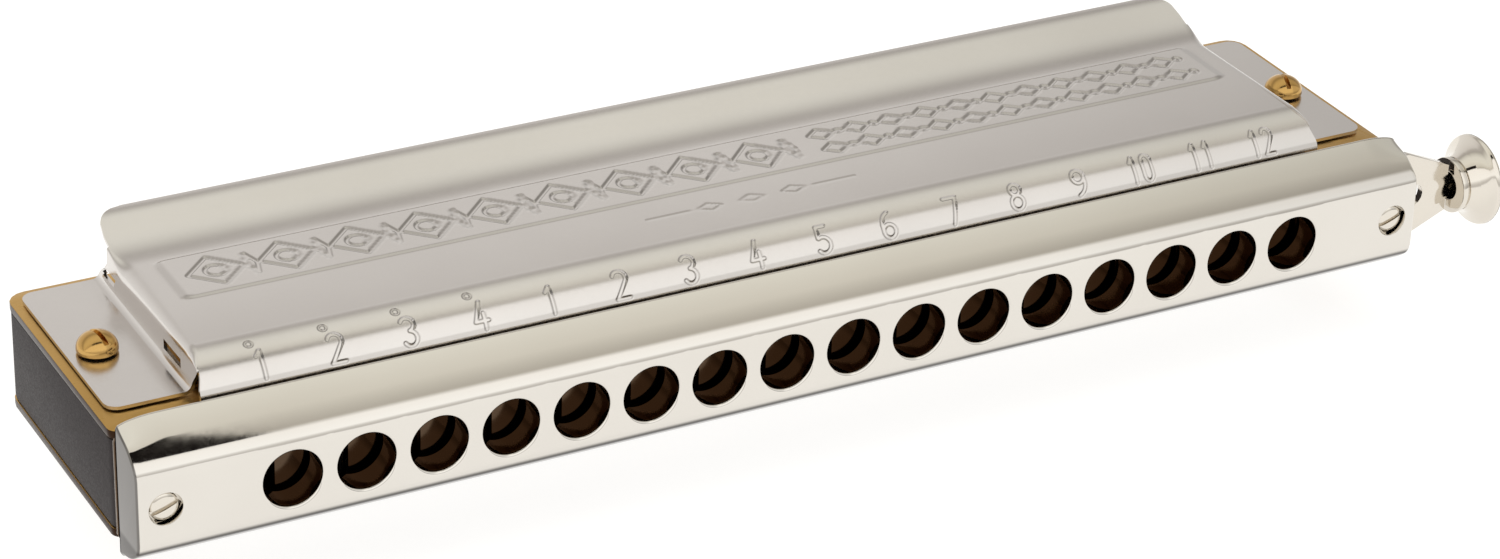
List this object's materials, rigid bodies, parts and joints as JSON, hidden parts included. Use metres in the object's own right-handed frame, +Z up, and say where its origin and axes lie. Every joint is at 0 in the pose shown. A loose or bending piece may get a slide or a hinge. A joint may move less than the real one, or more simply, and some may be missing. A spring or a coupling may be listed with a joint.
{
  "type": "chromatic harmonica",
  "caption": "Chromatic harmonica with a nickel mouthpiece, steel covers, brass reed plates, a black comb and a sprung slide button.",
  "frame": {"origin": "under the middle of the instrument's outline, at the level of the lower cover's rear edge", "axes": "+X along the instrument towards the slide button, +Y from the mouthpiece to the open back, +Z up, with the reed plates level"},
  "size_m": [0.1974, 0.0464, 0.0317],
  "materials": {
    "nickel_plate": "polished",
    "cover_steel": "fine satin",
    "brass": "brushed",
    "comb_plastic": "matte",
    "bumper_rubber": "matte",
    "spring_steel": "drawn wire"
  },
  "bodies": {
    "instrument": {"comb": "comb_plastic", "upper_reed_plate": "brass", "lower_reed_plate": "brass", "upper_cover": "cover_steel", "lower_cover": "cover_steel", "mouthpiece": "nickel_plate", "slide_cage": "nickel_plate", "slide_backplate": "nickel_plate", "slide_spring": "spring_steel", "slide_bumper": "bumper_rubber", "mouthpiece_screw_left": "nickel_plate", "mouthpiece_screw_right": "nickel_plate", "mouthpiece_insert_left": "brass", "mouthpiece_insert_right": "brass", "cover_bolt_left": "brass", "cover_bolt_right": "brass", "cover_nut_left": "brass", "cover_nut_right": "brass", "upper_plate_screw_left_front": "brass", "upper_plate_screw_left_rear": "brass", "upper_plate_screw_right_front": "brass", "upper_plate_screw_right_rear": "brass", "lower_plate_screw_left_front": "brass", "lower_plate_screw_left_rear": "brass", "lower_plate_screw_right_front": "brass", "lower_plate_screw_right_rear": "brass", "upper_draw_reed_01": "brass", "upper_draw_reed_02": "brass", "upper_draw_reed_03": "brass", "upper_draw_reed_04": "brass", "upper_draw_reed_05": "brass", "upper_draw_reed_06": "brass", "upper_draw_reed_07": "brass", "upper_draw_reed_08": "brass", "upper_draw_reed_09": "brass", "upper_draw_reed_10": "brass", "upper_draw_reed_11": "brass", "upper_draw_reed_12": "brass", "upper_draw_reed_13": "brass", "upper_draw_reed_14": "brass", "upper_draw_reed_15": "brass", "upper_draw_reed_16": "brass", "lower_draw_reed_01": "brass", "lower_draw_reed_02": "brass", "lower_draw_reed_03": "brass", "lower_draw_reed_04": "brass", "lower_draw_reed_05": "brass", "lower_draw_reed_06": "brass", "lower_draw_reed_07": "brass", "lower_draw_reed_08": "brass", "lower_draw_reed_09": "brass", "lower_draw_reed_10": "brass", "lower_draw_reed_11": "brass", "lower_draw_reed_12": "brass", "lower_draw_reed_13": "brass", "lower_draw_reed_14": "brass", "lower_draw_reed_15": "brass", "lower_draw_reed_16": "brass"},
    "slide_assembly": {"slide": "nickel_plate", "slide_button": "nickel_plate"}
  },
  "joints": [
    {"name": "slide_press", "type": "slide", "parent": "instrument", "child": "slide_assembly", "axis": [-1, 0, 0], "range_m": [0, 0.00475], "stiffness_N_per_m": 450, "springref_m": -0.003, "deforming": ["slide_spring"]}
  ]
}
